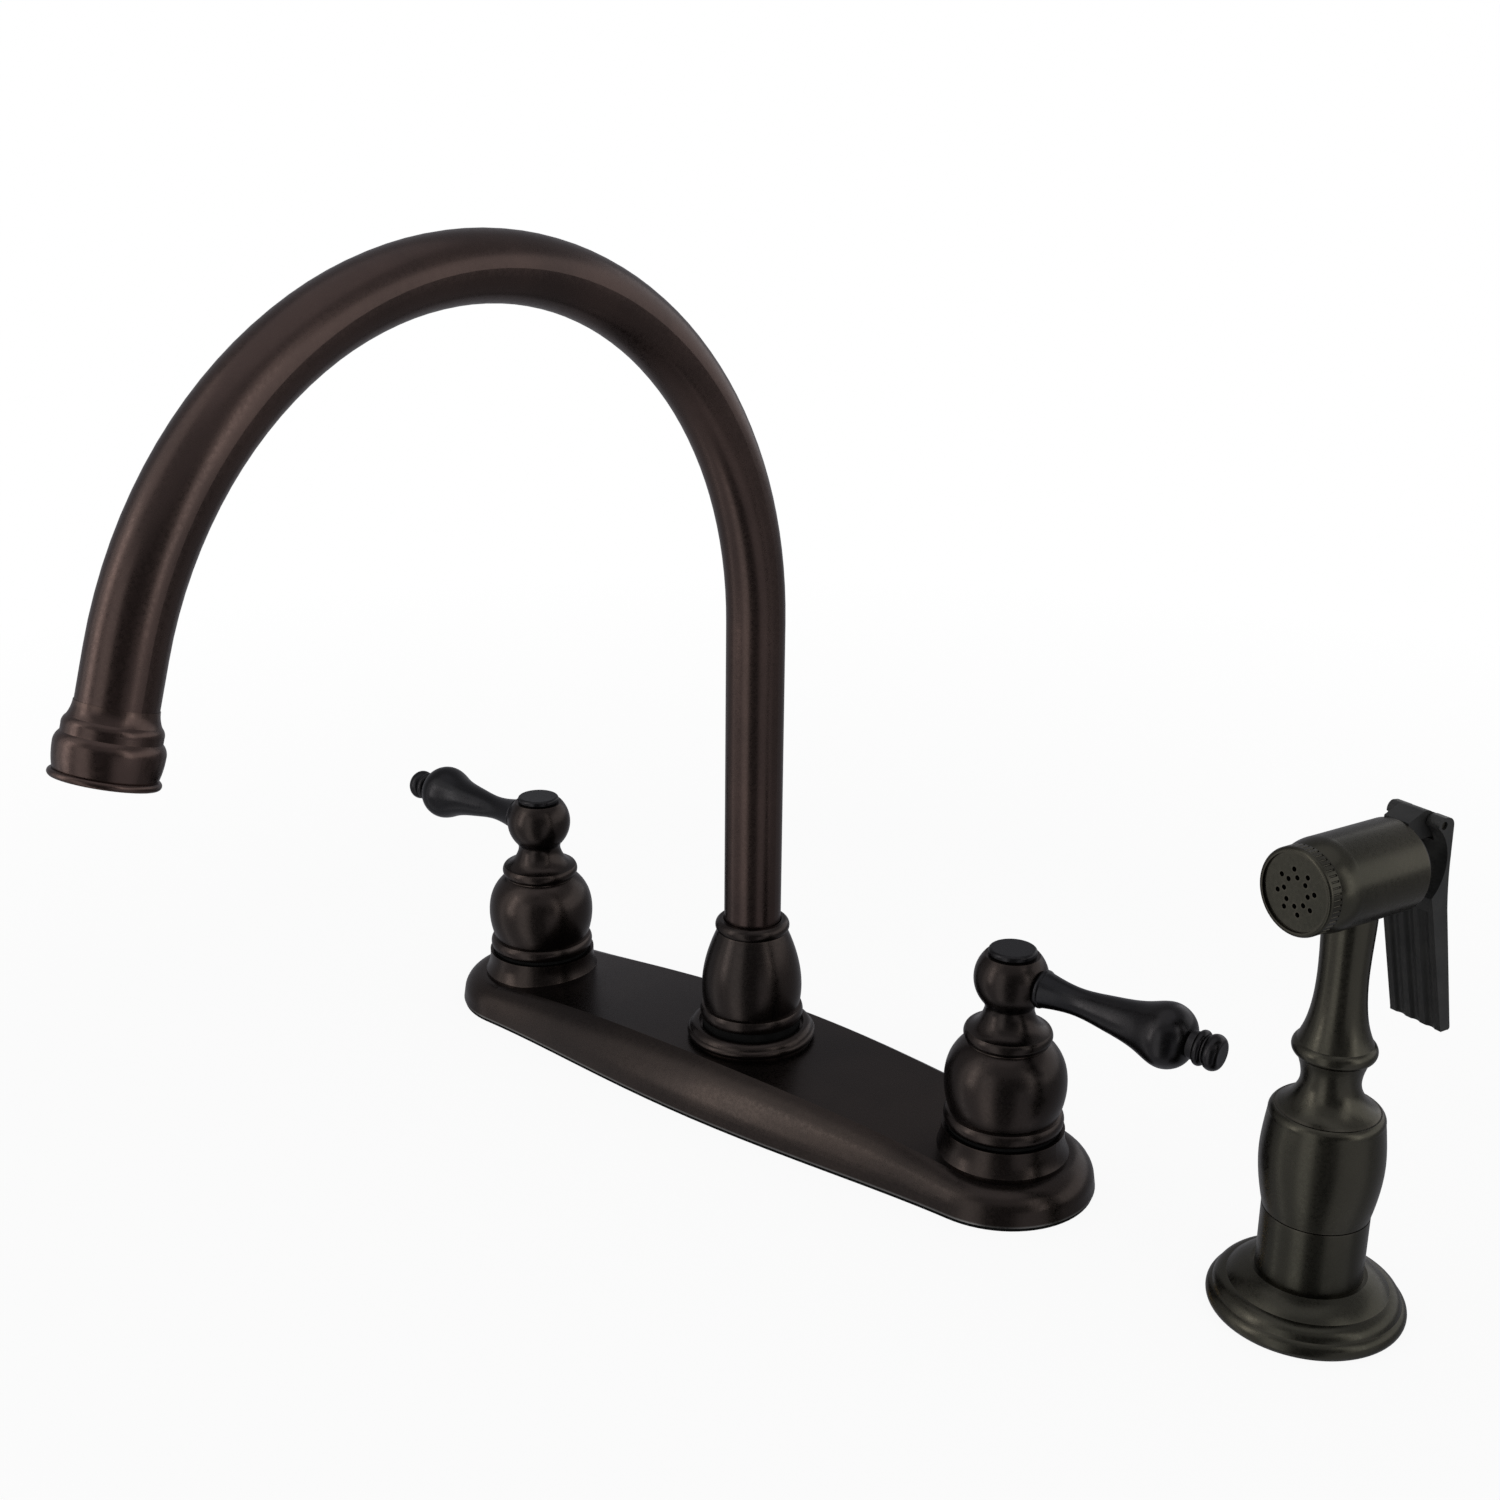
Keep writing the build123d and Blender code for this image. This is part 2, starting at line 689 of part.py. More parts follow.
def spout_bush():
    low = socket_floor + 1 + sleeve_height + 0.15
    return ring(socket_radius + 0.2, tube_radius + running_gap, low, low + bush_thick - 0.15)


def collar_seal():
    inner = post_radius + seat_gap
    return ring(collar_band_radius - 0.7, inner, spout_seat, spout_seat + collar_seal_thick)


# ---- diverter in the foot of the post ----
def diverter_cup():
    cup = ring(diverter_radius, diverter_radius - diverter_wall, diverter_foot, socket_floor)
    cup += ring(diverter_radius, nipple_bore, diverter_foot, diverter_foot + diverter_floor)
    cup += ring(diverter_radius, diverter_mouth, socket_floor - diverter_floor, socket_floor)
    arm = Pos(0, 0, foot + arm_height) * Rot(0, 90, 0) * Cylinder(arm_bore, 4 * diverter_radius)
    return cup - arm


def diverter_plunger():
    low = diverter_foot + diverter_floor + running_gap
    head = diverter_radius - diverter_wall - loose_gap
    top = socket_floor - diverter_lift - loose_gap
    return rod(diverter_stem, low, top) + rod(head, low, low + diverter_head)


def diverter_spring():
    """A short coil round the plunger's stem, between its head and the cup's mouth."""
    wire = diverter_wire
    low = diverter_foot + diverter_floor + running_gap + diverter_head + 2 * wire
    high = socket_floor - diverter_floor - 2 * wire
    return coil(low, high, diverter_mouth + wire + loose_gap, wire, 4)


# ---- sprayer holder ----
def sprayer_flange():
    """A stepped round foot on the deck, with a hole for the holder's shank."""
    r, step = flange_radius, flange_step_height
    shape = turned(
        (0, 0), ("line", (r - 1.2, 0)),
        ("arc", (r, 2.2), (r - 1.6, 5)),
        ("arc", (flange_step_radius + 2.5, step - 0.8), (flange_step_radius + 0.4, step)),
        ("arc", (flange_step_radius - 1.2, step + 1.5), (flange_neck_radius + 1.6, flange_height - 0.7)),
        ("line", (flange_neck_radius, flange_height)), ("line", (0, flange_height)))
    shape -= rod(holder_radius + seat_gap, 3.5, flange_height + 1)
    return shape - rod(holder_shank_radius + seat_gap, -1, 4)


def sprayer_holder():
    """The plain sleeve that the sprayer stands on, with a threaded shank under it."""
    shape = rod(holder_radius, 3.6, holder_top) + rod(holder_shank_radius, -1, 4)
    shape += threaded(holder_shank_radius, 1, -holder_shank_length, -1, shank_thread_pitch)
    return shape - rod(holder_bore, -holder_shank_length - 1, holder_top + 1)


def holder_liner():
    """A black plastic guide inside the holder."""
    return ring(holder_bore - seat_gap, coupling_radius + loose_gap, -4, holder_top - 1)


# ---- sprayer, drawn with its nozzle at -Y ----
def hose_coupling():
    """The swivel collar on the sprayer's tail, with the barb that the hose was pressed on."""
    top = wand_tail - loose_gap
    low = top - coupling_height
    shape = turned(
        (0, low), ("line", (coupling_radius - 2, low)),
        ("line", (coupling_radius, low + 3)), ("line", (coupling_radius, top)), ("line", (0, top)))
    barb = rod(hose_tail_radius - 0.8, low - hose_tail_length, low)
    for step in range(3):
        z = low - 1.5 - step * hose_tail_length / 3.4
        barb += Pos(0, 0, z) * Cone(hose_tail_radius - 0.8, hose_tail_radius, 1.6)
    spigot = rod(wand_bore - running_gap, top - 1, top + spigot_length)
    water = rod(spigot_bore, low - hose_tail_length - 1, top + spigot_length + 1)
    return shape + barb + spigot - water


def sprayer_barrel():
    """The swollen lower grip, a shell round the wand's foot."""
    z, top = holder_top + loose_gap, holder_top + barrel_height
    shell = turned(
        (0, z), ("line", (barrel_mouth_radius, z)),
        ("curve", (barrel_radius - 0.7, z + 7.5), (barrel_radius, z + 16),
         (barrel_radius - 0.6, z + 24), (shoulder_radius + 1.3, top - 2.6)),
        ("arc", (shoulder_radius + 0.9, top - 0.9), (shoulder_radius, top)), ("line", (0, top)))
    inner = turned(
        (0, z - 1), ("line", (barrel_mouth_radius - barrel_wall, z - 1)),
        ("line", (barrel_mouth_radius - barrel_wall, z + 3)),
        ("line", (barrel_radius - barrel_wall - 1, z + 12)),
        ("line", (barrel_radius - barrel_wall - 1, top - 5)),
        ("line", (wand_neck_radius + 2, top - 2.5)), ("line", (0, top - 2.5)))
    return shell - inner - rod(wand_neck_radius + seat_gap, z, top + 1)


def sprayer_wand():
    """Neck, ring and long waisted stem, bored for the water, up to the head."""
    base = holder_top + barrel_height + 0.05
    tail, tip = wand_tail, head_z - sqrt(head_radius**2 - wand_waist_radius**2) + 1.2
    ring_z = base + 18.2
    shape = turned(
        (0, base), ("line", (shoulder_radius - 0.4, base)),
        ("curve", (wand_neck_radius + 2.2, base + 3.1), (wand_neck_radius + 0.1, base + 7.4),
         (wand_neck_radius + 0.2, base + 11), (wand_ring_radius - 1.6, base + 15.6)),
        ("arc", (wand_ring_radius, ring_z), (wand_ring_radius - 1.2, ring_z + 2)),
        ("curve", (wand_waist_radius + 1.9, ring_z + 6), (wand_waist_radius + 0.5, ring_z + 13),
         (wand_waist_radius, ring_z + 22), (wand_waist_radius + 0.5, tip)),
        ("line", (0, tip)))
    shape += rod(wand_neck_radius - 0.4, tail, base + 0.5)
    shape -= rod(wand_bore, tail - 1, tip + 1)
    lying = Pos(0, (head_back - head_front) / 2, head_z) * Rot(90, 0, 0)
    return shape - lying * Cylinder(head_radius + 0.02, head_back + head_front + 2)


def lay(shape):
    """From a shape drawn along +Z to one on the head's axis, pointing forward (-Y)."""
    return Pos(0, 0, head_z) * Rot(90, 0, 0) * shape


def sprayer_head():
    """The round head across the top of the wand: an open tube with a rounded front."""
    shape = turned(
        (0, -head_back), ("line", (head_radius, -head_back)), ("line", (head_radius, head_front - 7)),
        ("arc", (head_radius - 0.4, head_front - 3), (nozzle_radius - 0.9, head_front)),
        ("line", (0, head_front)))
    shape -= rod(head_radius - head_wall, -head_back - 1, head_front - 8)
    shape -= rod(nozzle_radius - 3.4, head_front - 9, head_front + 1)
    return lay(shape) - rod(wand_bore, head_z - head_radius - 1, head_z - 4)


def nozzle_ring():
    """A knurled ring that holds the spray face."""
    low, high = head_front + 0.05, head_front + nozzle_length
    shape = turned(
        (0, low), ("line", (nozzle_radius - 0.2, low)), ("line", (nozzle_radius, low + 0.4)),
        ("line", (nozzle_radius, high - 1)),
        ("arc", (nozzle_radius - 0.3, high - 0.3), (nozzle_radius - 1, high)), ("line", (0, high)))
    for knurl in range(nozzle_knurls):
        turn = Rot(0, 0, 360 / nozzle_knurls * knurl)
        shape -= turn * rod(0.3, low + 0.5, high - 1.2, nozzle_radius + 0.05)
    shape -= rod(face_radius + seat_gap, low + 1, high + 1)
    return lay(shape - rod(face_radius - 1.5, low - 1, high))


def spray_face():
    """The flat sunk face with pairs of spray holes round a circle."""
    low = head_front + 0.05 + 1 + seat_gap
    shape = rod(face_radius, low, low + face_thick)
    for pair in range(face_holes // 2):
        for part in (0, 1):
            angle = 360 / (face_holes // 2) * pair + 12 * part
            turn = Rot(0, 0, angle)
            shape -= turn * rod(face_hole_radius, low - 1, low + 4, face_radius * (0.37 + 0.2 * part))
    return lay(shape)


def valve_rear():
    """The black valve body screwed into the back of the head, with a tab for the trigger's pin."""
    shape = turned(
        (0, -valve_rear_end), ("line", (plunger_radius + 1.2, -valve_rear_end)),
        ("arc", (valve_rear_radius - 3.4, -valve_rear_end + 2), (valve_rear_radius, -valve_rear_shoulder)),
        ("line", (valve_rear_radius, -head_back)), ("line", (0, -head_back)))
    inner_face = valve_depth - head_back
    shape += rod(head_radius - head_wall - seat_gap, -head_back - 0.5, inner_face)
    shape -= rod(plunger_radius + running_gap, -valve_rear_end - 1, inner_face + 1)
    low = valve_rear_radius - 4
    profile = outline(
        (lug_front, low), ("line", (lug_front, head_radius - seat_gap)),
        ("line", (lug_back - 5, lug_top)),
        ("arc", (lug_back - 1.4, lug_top - 0.9), (lug_back, pivot_height)), ("line", (lug_back, low)))
    side = Plane(origin=(-lug_width / 2, 0, head_z), x_dir=(0, 1, 0), z_dir=(1, 0, 0))
    tab = extrude(side * profile, lug_width)
    return lay(shape) + tab - cross_rod(pivot_radius + seat_gap, pivot_back, pivot_height)


def cross_rod(radius, back, lift):
    """A rod across the sprayer, placed from its axis and the head's axis."""
    return Pos(0, back, head_z + lift) * Rot(0, 90, 0) * Cylinder(radius, 2 * trigger_width)


def pivot_pin():
    pin = Cylinder(pivot_radius, trigger_width - 1)
    return Pos(0, pivot_back, head_z + pivot_height) * Rot(0, 90, 0) * pin


def spray_trigger():
    """One moulding: ears on the pin, a hollow round the valve body and a long fluted blade."""
    root_front = trigger_back + 1.6 - trigger_root_thick
    tip_front = trigger_tip_back - trigger_tip_thick
    lip_low = -trigger_root + 1.6
    profile = outline(
        (pivot_back - ear_radius, pivot_height),
        ("arc", (pivot_back - 0.7 * ear_radius, pivot_height + 0.7 * ear_radius), (pivot_back, trigger_top)),
        ("line", (trigger_back - 3, trigger_top - 0.2)),
        ("arc", (trigger_back - 1.1, trigger_top - 1.1), (trigger_back - 0.4, trigger_top - 3)),
        ("line", (trigger_back, 0)),
        ("arc", (trigger_back + 0.5, -trigger_root / 2), (trigger_back + 1.6, -trigger_root - 1.5)),
        ("line", (trigger_tip_back, -trigger_tip + 0.8)),
        ("arc", (trigger_tip_back - 0.2, -trigger_tip + 0.1), (trigger_tip_back - 1, -trigger_tip)),
        ("line", (tip_front + 0.6, -trigger_tip)),
        ("arc", (tip_front + 0.1, -trigger_tip + 0.2), (tip_front, -trigger_tip + 0.8)),
        ("line", (root_front, -trigger_root)),
        ("line", (trigger_front + 2.9, lip_low + 1.6)), ("line", (trigger_front, lip_low + 1.6)))
    side = Plane(origin=(-trigger_width / 2, 0, head_z), x_dir=(0, 1, 0), z_dir=(1, 0, 0))
    shape = extrude(side * profile, trigger_width)
    shape -= cross_rod(saddle_radius, saddle_back, saddle_lift)
    shape -= Pos(0, lug_front, head_z + pivot_height) * Box(
        lug_width + 2 * loose_gap, 2 * (lug_back - lug_front + 1.1), 2 * pivot_height - 12)
    lean = Pos(0, root_front, head_z - trigger_root) * Rot(blade_lean(), 0, 0)
    for flute in range(trigger_flutes):
        x = (flute - (trigger_flutes - 1) / 2) * trigger_width / (trigger_flutes + 0.4)
        shape -= lean * rod(flute_radius, -2 * trigger_tip, -1.5, x, flute_depth - flute_radius)
    return shape - cross_rod(pivot_radius + running_gap, pivot_back, pivot_height)


def blade_lean():
    """Angle of the blade's inner face from upright, in degrees."""
    run = trigger_tip_back - trigger_tip_thick - trigger_back - 1.6 + trigger_root_thick
    return degrees(atan2(run, trigger_tip - trigger_root))


def valve_plunger():
    """The push rod between the trigger and the valve seat."""
    end = saddle_back + saddle_radius - 0.4
    shape = rod(plunger_radius, -end + 2, valve_seat + 1)
    shape += turned((0, -end), ("line", (plunger_tip_radius, -end)),
                    ("line", (plunger_radius, -end + 2)), ("line", (0, -end + 2)))
    flange = rod(plunger_flange_radius, valve_seat, valve_seat + plunger_flange_thick)
    return lay(shape + flange)


def plunger_spring():
    wire = plunger_wire
    low = valve_seat + plunger_flange_thick + wire + running_gap
    return lay(coil(low, head_front + 1 - wire, plunger_radius + 1.4, wire, 5))


def build_faucet():
    os.makedirs("parts", exist_ok=True)
    save("deck_plate", deck_plate())
    save("base_gasket", base_gasket())
    save("waterway_body", waterway_body())
    both = [Pos(sign * handle_x, 0, 0) for sign in sides.values()]
    nut = plain_nut(locknut_flats, locknut_height, shank_radius, locknut_drop)
    washer = ring(shank_washer_radius, shank_radius + loose_gap, -locknut_drop,
                  -locknut_drop + shank_washer_thick)
    save("shank_locknuts", joined([place * nut for place in both]))
    save("shank_washers", joined([place * washer for place in both]))
    nipple = shank(nipple_radius, nipple_bore, nipple_length, nipple_thread_pitch, nipple_plain_end)
    save("hose_nipple", nipple)
    bonnet = hexagon(bonnet_flats, tower_top, tower_top + bonnet_height, valve_bore + seat_gap)
    save("bonnet_nuts", joined([place * bonnet for place in both]))
    seal = ring(bell_ring_radius - 1.1, valve_tower_radius + seat_gap, handle_boss_top, bell_foot)
    save("bell_seals", joined([place * seal for place in both]))
    save("stem_orings", joined([place * stem_oring() for place in both]))
    seat_seal = ring(valve_bore - 0.2, shank_bore + 0.3, valve_base, disc_base - 0.02)
    save("seat_seals", joined([place * seat_seal for place in both]))

    for (side, sign), place in zip(sides.items(), both):
        pipe = shank(shank_radius, shank_bore, shank_length, shank_thread_pitch, shank_plain_end)
        save(f"{side}_inlet_shank", place * pipe)
        save(f"{side}_cartridge_housing", place * cartridge_housing())
        save(f"{side}_fixed_disc", place * ported_disc(disc_base, disc_radius + loose_gap - seat_gap))
        save(f"{side}_moving_disc", place * Rot(0, 0, 90) * ported_disc(disc_split, disc_radius))
        save(f"{side}_valve_stem", place * valve_stem())
        save(f"{side}_bell", place * bell())
        turn = Rot(0, 0, 180 - hot_lever_yaw) if side == "hot" else Rot(0, 0, 0)
        save(f"{side}_handle_hub", place * turn * handle_hub())
        save(f"{side}_lever", place * turn * handle_lever())
        save(f"{side}_handle_screw", place * handle_screw())
        save(f"{side}_index_cap", place * index_cap())

    save("spout_tube", spout_tube())
    save("spout_outlet", at_outlet(spout_outlet()))
    save("aerator_housing", at_outlet(aerator_housing()))
    screen_low = outlet_length - 3
    save("aerator_screen", at_outlet(aerator_disc(screen_low, 6, 0.7, screen_thick)))
    save("aerator_insert", at_outlet(aerator_disc(screen_low - 5, 5, 0.6, 3)))
    washer_high = outlet_length - aerator_length + 1.1
    save("aerator_washer", at_outlet(ring(aerator_radius - 0.2, 7, washer_high - 1, washer_high)))
    save("spout_base_sleeve", base_sleeve())
    save("spout_orings", joined(spout_orings()))
    save("spout_nut", spout_nut())
    save("spout_bush", spout_bush())
    save("collar_seal", collar_seal())
    save("diverter_cup", diverter_cup())
    save("diverter_plunger", diverter_plunger())
    save("diverter_spring", diverter_spring())

    stand = Pos(sprayer_x, 0, 0)
    aim = stand * Rot(0, 0, sprayer_yaw)
    save("sprayer_flange", stand * sprayer_flange())
    save("sprayer_holder", stand * sprayer_holder())
    save("holder_liner", stand * holder_liner())
    holder_nut = plain_nut(holder_nut_flats, holder_nut_height, holder_shank_radius, holder_nut_drop)
    save("holder_nut", stand * holder_nut)
    holder_washer = ring(holder_nut_flats / 2 + 3, holder_shank_radius + seat_gap,
                         -holder_nut_drop, -holder_nut_drop + shank_washer_thick)
    save("holder_washer", stand * holder_washer)
    save("hose_coupling", stand * hose_coupling())
    save("sprayer_barrel", aim * sprayer_barrel())
    save("sprayer_wand", aim * sprayer_wand())
    save("sprayer_head", aim * sprayer_head())
    save("nozzle_ring", aim * nozzle_ring())
    save("spray_face", aim * spray_face())
    save("valve_rear", aim * valve_rear())
    save("pivot_pin", aim * pivot_pin())
    save("spray_trigger", aim * spray_trigger())
    save("valve_plunger", aim * valve_plunger())
    save("plunger_spring", aim * plunger_spring())


build_faucet()
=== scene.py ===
import json
from math import cos, radians, sin, tan

import bpy
from mathutils import Matrix, Vector

# A dark bronze two-handle kitchen faucet with its side sprayer, on a white ground. Metres.

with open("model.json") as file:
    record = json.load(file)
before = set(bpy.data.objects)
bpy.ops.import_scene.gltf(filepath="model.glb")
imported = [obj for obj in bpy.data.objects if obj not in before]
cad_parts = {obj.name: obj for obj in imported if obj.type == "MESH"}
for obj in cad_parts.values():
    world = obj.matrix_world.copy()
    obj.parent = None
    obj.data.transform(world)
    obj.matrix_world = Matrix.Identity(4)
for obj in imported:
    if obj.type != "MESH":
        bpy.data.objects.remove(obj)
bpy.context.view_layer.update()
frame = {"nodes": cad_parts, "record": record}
nodes = frame["nodes"]


# ---- camera, from the photograph's viewing angle ----
PHOTO_PIXELS = 1500
FOCAL_PIXELS = 1926.26
SENSOR_MM = 36.0
CAMERA_AZIMUTH = 39.365      # degrees to the right of straight in front
CAMERA_ELEVATION = 18.655
CAMERA_ROLL = 0.604
CAMERA_PLACE = Vector((0.37693, -0.46171, 0.32150))


def make_camera():
    data = bpy.data.cameras.new("photo_camera")
    data.sensor_width = SENSOR_MM
    data.lens = FOCAL_PIXELS / PHOTO_PIXELS * SENSOR_MM
    data.clip_start, data.clip_end = 0.01, 20.0
    camera = bpy.data.objects.new("photo_camera", data)
    bpy.context.scene.collection.objects.link(camera)
    azimuth, elevation = radians(CAMERA_AZIMUTH), radians(CAMERA_ELEVATION)
    back = Vector((sin(azimuth) * cos(elevation), -cos(azimuth) * cos(elevation), sin(elevation)))
    right = Vector((cos(azimuth), sin(azimuth), 0))
    up = back.cross(right)
    roll = radians(CAMERA_ROLL)
    rolled_right = cos(roll) * right + sin(roll) * up
    rolled_up = -sin(roll) * right + cos(roll) * up
    turn = Matrix((rolled_right, rolled_up, back)).transposed().to_4x4()
    camera.matrix_world = Matrix.Translation(CAMERA_PLACE) @ turn
    bpy.context.scene.camera = camera


# ---- node helpers ----
class Nodes:
    """A material's node tree, built by short calls."""

    def __init__(self, name):
        self.material = bpy.data.materials.new(name)
        self.material.use_nodes = True
        self.tree = self.material.node_tree
        self.tree.nodes.clear()
        self.output = self.add("ShaderNodeOutputMaterial")

    def add(self, kind, inputs=None, **settings):
        node = self.tree.nodes.new(kind)
        for key, value in settings.items():
            setattr(node, key, value)
        for key, value in (inputs or {}).items():
            if isinstance(value, bpy.types.NodeSocket):
                self.tree.links.new(value, node.inputs[key])
            else:
                node.inputs[key].default_value = value
        return node

    def place(self):
        """Position in the row frame: every CAD object sits at the origin."""
        return self.add("ShaderNodeTexCoord").outputs["Object"]

    def noise(self, scale, detail=2.0, rough=0.5, vector=None):
        inputs = {"Scale": scale, "Detail": detail, "Roughness": rough, "Vector": vector or self.place()}
        return self.add("ShaderNodeTexNoise", inputs).outputs["Fac"]

    def stretched(self, factors):
        inputs = {0: self.place(), 1: factors}
        return self.add("ShaderNodeVectorMath", inputs, operation="MULTIPLY").outputs[0]

    def remap(self, value, low, high, to_low, to_high):
        inputs = {"Value": value, "From Min": low, "From Max": high, "To Min": to_low, "To Max": to_high}
        return self.add("ShaderNodeMapRange", inputs).outputs["Result"]

    def blend(self, factor, one, other):
        node = self.add("ShaderNodeMix", data_type="RGBA")
        self.tree.links.new(factor, node.inputs[0])
        for index, colour in ((6, one), (7, other)):
            if isinstance(colour, bpy.types.NodeSocket):
                self.tree.links.new(colour, node.inputs[index])
            else:
                node.inputs[index].default_value = (*colour, 1)
        return node.outputs[2]

    def edge(self, radius):
        """1 on convex edges and 0 on flats, from the rounded normal."""
        soft = self.add("ShaderNodeBevel", {"Radius": radius}, samples=6).outputs[0]
        hard = self.add("ShaderNodeNewGeometry").outputs["Normal"]
        same = self.add("ShaderNodeVectorMath", {0: soft, 1: hard}, operation="DOT_PRODUCT")
        return self.remap(same.outputs["Value"], 0.995, 0.88, 0.0, 1.0)

    def bump(self, height, distance, strength):
        inputs = {"Height": height, "Distance": distance, "Strength": strength}
        return self.add("ShaderNodeBump", inputs).outputs[0]

    def surface(self, inputs):
        shader = self.add("ShaderNodeBsdfPrincipled", inputs)
        self.tree.links.new(shader.outputs[0], self.output.inputs["Surface"])
        return self.material


FOOT_HIGHLIGHT = (0.16, 0.155, 0.15)  # painted highlight: a light line along the plate's foot
HIGHLIGHT_TOP, HIGHLIGHT_FULL = 0.0019, 0.0014  # heights where the painted highlight line starts and where it is full
BRONZE_ROUGH = 0.28
GRAZING = (0.9, 0.9, 0.92, 1)    # colour of the reflection at a glancing angle


def bronze(name, dark, brown, worn):
    """Satin oil-rubbed bronze: a dark coat with cloudy brown, fine grain and rubbed edges."""
    m = Nodes(name)
    cloud = m.remap(m.noise(22.0, 4.0, 0.55), 0.36, 0.66, 0.0, 1.0)
    fine = m.noise(900.0, 2.0, 0.6)
    grain = m.noise(2600.0, 1.0, 0.5)
    base = m.blend(cloud, dark, brown)
    rubbed = m.edge(0.0011)
    patchy = m.remap(m.noise(60.0, 3.0, 0.6), 0.35, 0.7, 0.1, 0.6)
    wear = m.add("ShaderNodeMath", {0: rubbed, 1: patchy}, operation="MULTIPLY").outputs[0]
    colour = m.blend(wear, base, worn)
    # painted highlight along the plate's foot, full below its lower height
    if name == "plate_bronze":
        height = m.add("ShaderNodeSeparateXYZ", {0: m.place()}).outputs["Z"]
        colour = m.blend(m.remap(height, HIGHLIGHT_TOP, HIGHLIGHT_FULL, 0.0, 1.0), colour, FOOT_HIGHLIGHT)
    roughness = m.remap(fine, 0.3, 0.7, BRONZE_ROUGH - 0.05, BRONZE_ROUGH + 0.07)
    normal = m.bump(grain, 0.00003, 0.18)
    return m.surface({
        "Base Color": colour, "Metallic": 1.0, "Roughness": roughness, "Normal": normal,
        "Specular Tint": GRAZING})


PLASTIC_ROUGH = 0.45


def moulded_plastic(name, colour, lighter):
    m = Nodes(name)
    tint = m.blend(m.remap(m.noise(120.0, 3.0), 0.35, 0.65, 0.0, 1.0), colour, lighter)
    grain = m.noise(1800.0, 1.0)
    roughness = m.remap(m.noise(700.0), 0.3, 0.7, PLASTIC_ROUGH - 0.06, PLASTIC_ROUGH + 0.08)
    return m.surface({
        "Base Color": tint, "Roughness": roughness,
        "Normal": m.bump(grain, 0.00006, 0.5), "Specular IOR Level": 0.45})


def rubber(name):
    m = Nodes(name)
    tint = m.blend(m.noise(300.0, 3.0), (0.003, 0.003, 0.003), (0.009, 0.009, 0.009))
    pores = m.add("ShaderNodeTexVoronoi", {"Vector": m.place(), "Scale": 1400.0}).outputs["Distance"]
    return m.surface({
        "Base Color": tint, "Roughness": 0.75, "Normal": m.bump(pores, 0.00008, 0.5),
        "Specular IOR Level": 0.05})


def turned_metal(name, colour, other, rough, stretch):
    """Raw metal with fine tool lines round its axis."""
    m = Nodes(name)
    lines = m.noise(1.0, 2.0, 0.5, m.stretched(stretch))
    cloud = m.noise(70.0, 3.0, 0.55)
    return m.surface({
        "Base Color": m.blend(cloud, colour, other), "Metallic": 1.0,
        "Roughness": m.remap(lines, 0.3, 0.7, rough - 0.08, rough + 0.1),
        "Normal": m.bump(lines, 0.00003, 0.4)})


def ceramic(name):
    m = Nodes(name)
    tint = m.blend(m.noise(200.0, 3.0), (0.86, 0.85, 0.81), (0.92, 0.91, 0.88))
    return m.surface({"Base Color": tint, "Roughness": m.remap(m.noise(500.0), 0.3, 0.7, 0.12, 0.22),
                      "Coat Weight": 0.3, "Coat Roughness": 0.1})


# ---- finishes of the record's slots ----
BRONZES = {                  # dark coat, cloudy brown and rubbed edge
    "spout_bronze": ((0.064, 0.046, 0.042), (0.090, 0.062, 0.055), (0.13, 0.09, 0.075)),
    "plate_bronze": ((0.034, 0.028, 0.026), (0.048, 0.038, 0.034), (0.08, 0.062, 0.052)),
    "handle_bronze": ((0.036, 0.030, 0.028), (0.052, 0.041, 0.037), (0.085, 0.066, 0.055)),
    "sprayer_bronze": ((0.052, 0.050, 0.040), (0.073, 0.068, 0.054), (0.11, 0.098, 0.08)),
    # painted shade: the hubs' bronze made darker and cooler for the levers and index caps
    "handle_bronze_painted_shade": ((0.026, 0.026, 0.028), (0.036, 0.034, 0.035), (0.058, 0.054, 0.053)),
}
PAINTED_SHADE_NODES = ("_lever", "_index_cap")  # the levers and index caps share the hubs' slot; they take a darker, cooler copy of its bronze, painted shade for their darker upward reflection


def finish_nodes():
    finishes = {name: bronze(name, *colours) for name, colours in BRONZES.items()}
    finishes.update({
        "black_plastic": moulded_plastic("black_plastic", (0.009, 0.0095, 0.0095), (0.017, 0.017, 0.016)),
        "white_plastic": moulded_plastic("white_plastic", (0.78, 0.77, 0.74), (0.84, 0.83, 0.80)),
        "black_rubber": rubber("black_rubber"),
        "brass": turned_metal("brass", (0.62, 0.45, 0.20), (0.74, 0.56, 0.28), 0.3, (60, 60, 5000)),
        "zinc_steel": turned_metal(
            "zinc_steel", (0.55, 0.55, 0.53), (0.66, 0.66, 0.62), 0.35, (400, 400, 3000)),
        "stainless": turned_metal("stainless", (0.58, 0.58, 0.57), (0.68, 0.68, 0.67), 0.25, (300, 300, 3000)),
        "ceramic": ceramic("ceramic"),
    })
    for part in frame["record"]["subparts"]:
        obj = nodes[part["node"]]
        obj.data.materials.clear()
        # levers and index caps take the bronze with painted shade
        slot = "handle_bronze_painted_shade" if part["node"].endswith(PAINTED_SHADE_NODES) else part["material_slot"]
        obj.data.materials.append(finishes[slot])


SMOOTH_ANGLE = 32.0          # degrees between faces that still shade as one surface


def smooth_shading():
    for obj in nodes.values():
        obj.data.shade_smooth()
        sharp = obj.modifiers.new("sharp_edges", "EDGE_SPLIT")
        sharp.split_angle = radians(SMOOTH_ANGLE)


# ---- floor, lamps and surroundings ----
FLOOR_HALF = 1.6
SHADOW_NEAR, SHADOW_END = 0.25, 0.75  # the floor's shadow fades out between these distances
SHADOW_WHITE = 0.92          # share of plain white under the faucet, which keeps the shadow faint


